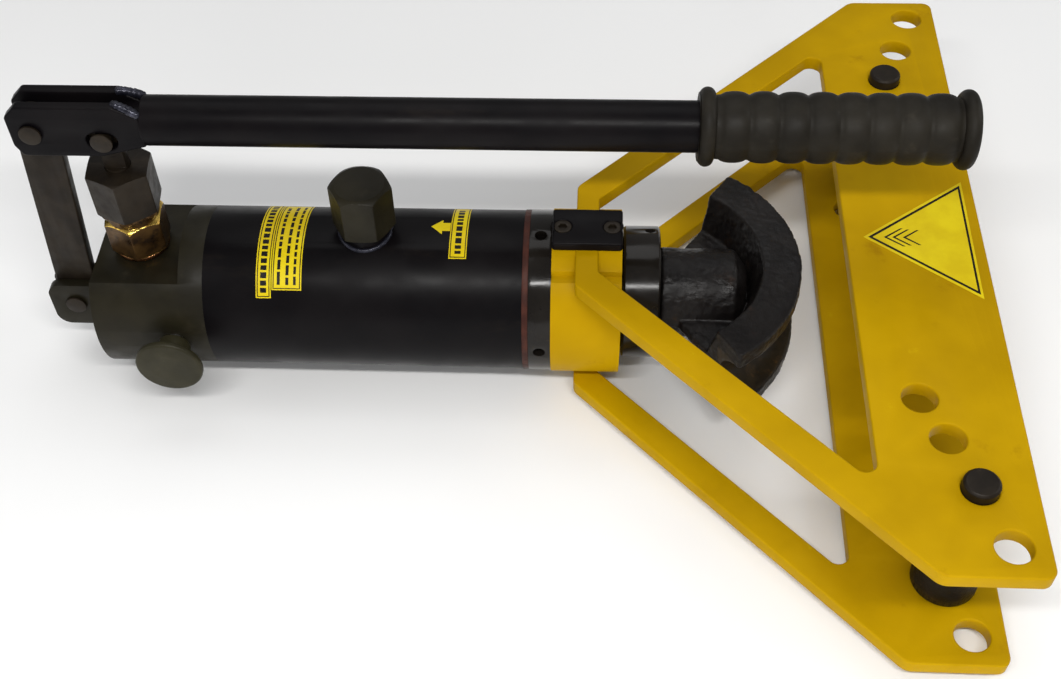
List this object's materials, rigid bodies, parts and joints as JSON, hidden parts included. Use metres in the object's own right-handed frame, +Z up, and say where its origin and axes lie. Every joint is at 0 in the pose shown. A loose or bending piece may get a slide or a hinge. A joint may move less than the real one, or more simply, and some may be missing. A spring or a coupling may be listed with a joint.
{
  "type": "rebar bender",
  "caption": "Hand-pumped hydraulic pipe and rebar bender: horizontal cylinder with a curved former on its ram, pressing between two rollers held in twin wing plates.",
  "frame": {"origin": "on the ground plane, straight below the point where the ram axis crosses the middle of the wing clamp", "axes": "+X along the ram's stroke towards the rollers, +Y along the wings towards the rear wing, +Z up"},
  "size_m": [0.466, 0.378, 0.1698],
  "materials": {
    "block_black": "satin dark green-black",
    "tube_black": "gloss black paint",
    "frame_yellow": "gloss golden-yellow paint",
    "black_oxide": "black oxide, oily",
    "handle_black": "gloss black paint",
    "steel": "ground steel",
    "hard_chrome": "hard chrome",
    "cast_black": "rough cast, black paint",
    "brass": "aged brass",
    "bronze": "machined bronze",
    "copper": "aged copper",
    "grip_rubber": "matte moulded rubber",
    "seal_rubber": "nitrile rubber",
    "gasket_brown": "red-brown gasket"
  },
  "bodies": {
    "frame": {"pump_block": "block_black", "reservoir_tube": "tube_black", "pressure_cylinder": "steel", "tube_gasket": "gasket_brown", "front_head": "tube_black", "guide_bush": "bronze", "rod_seal": "seal_rubber", "front_nut": "tube_black", "wiper_ring": "seal_rubber", "wing_collar": "frame_yellow", "upper_wing_plate": "frame_yellow", "lower_wing_plate": "frame_yellow", "upper_clamp_block": "handle_black", "lower_clamp_block": "handle_black", "clamp_bolts": "black_oxide", "filler_neck": "tube_black", "link_lug": "block_black", "lug_pin": "black_oxide", "lug_pin_clip": "black_oxide", "pump_washer": "copper", "pump_barrel": "brass", "gland_nut": "black_oxide", "plunger_seal": "seal_rubber", "suction_ball": "steel", "delivery_ball": "steel", "delivery_spring": "steel", "delivery_seat_screw": "steel", "suction_plug": "black_oxide", "return_spring": "steel"},
    "ram": {"ram_rod": "hard_chrome", "piston": "steel", "piston_seal": "seal_rubber", "piston_nut": "steel", "former": "cast_black", "former_screw": "black_oxide"},
    "link": {"link_strap": "black_oxide", "link_pin": "black_oxide", "link_pin_clip": "black_oxide"},
    "handle": {"front_cheek": "handle_black", "rear_cheek": "handle_black", "fork_spacer": "handle_black", "handle_tube": "handle_black", "handle_grip": "grip_rubber"},
    "plunger": {"plunger": "steel", "plunger_pin": "black_oxide", "plunger_pin_clip": "black_oxide"},
    "release_valve": {"release_knob": "block_black", "release_spindle": "steel", "release_ring": "seal_rubber"},
    "filler": {"filler_cap": "block_black", "filler_seal": "seal_rubber"},
    "front_roller": {"front_roller": "cast_black"},
    "rear_roller": {"rear_roller": "cast_black"},
    "front_pin": {"front_roller_pin": "black_oxide"},
    "rear_pin": {"rear_roller_pin": "black_oxide"}
  },
  "joints": [
    {"name": "ram_slide", "type": "slide", "parent": "frame", "child": "ram", "axis": [1, 0, 0], "range_m": [0, 0.1], "stiffness_N_per_m": 600, "springref_m": -0.05, "deforming": ["return_spring"]},
    {"name": "link_swing", "type": "hinge", "parent": "frame", "child": "link", "pos_m": [-0.264, 0, 0.037], "axis": [0, 1, 0], "range_deg": [-5, 5]},
    {"name": "handle_pump", "type": "hinge", "parent": "link", "child": "handle", "pos_m": [-0.254, 0, 0.15], "axis": [0, -1, 0], "range_deg": [-6, 45]},
    {"name": "plunger_slide", "type": "slide", "parent": "frame", "child": "plunger", "axis": [0, 0, 1], "range_m": [-0.005, 0.025]},
    {"name": "release_turn", "type": "hinge", "parent": "frame", "child": "release_valve", "pos_m": [-0.2035, 0, 0.045], "axis": [0, -1, 0], "range_deg": [0, 360]},
    {"name": "filler_cap_turn", "type": "hinge", "parent": "frame", "child": "filler", "pos_m": [-0.1085, 0, 0.045], "axis": [0, 0, 1], "range_deg": [0, 720]},
    {"name": "front_roller_spin", "type": "hinge", "parent": "frame", "child": "front_roller", "pos_m": [0.1648, -0.146, 0.045], "axis": [0, 0, 1], "continuous": true},
    {"name": "rear_roller_spin", "type": "hinge", "parent": "frame", "child": "rear_roller", "pos_m": [0.1556, 0.12, 0.045], "axis": [0, 0, 1], "continuous": true},
    {"name": "front_pin_lift", "type": "slide", "parent": "frame", "child": "front_pin", "axis": [0, 0, 1], "range_m": [0, 0.085]},
    {"name": "rear_pin_lift", "type": "slide", "parent": "frame", "child": "rear_pin", "axis": [0, 0, 1], "range_m": [0, 0.085]}
  ],
  "couplings": [
    {"joint": "link_swing", "follows": "handle_pump", "ratio": 0.0575},
    {"joint": "plunger_slide", "follows": "handle_pump", "m_per_rad": 0.0283}
  ]
}
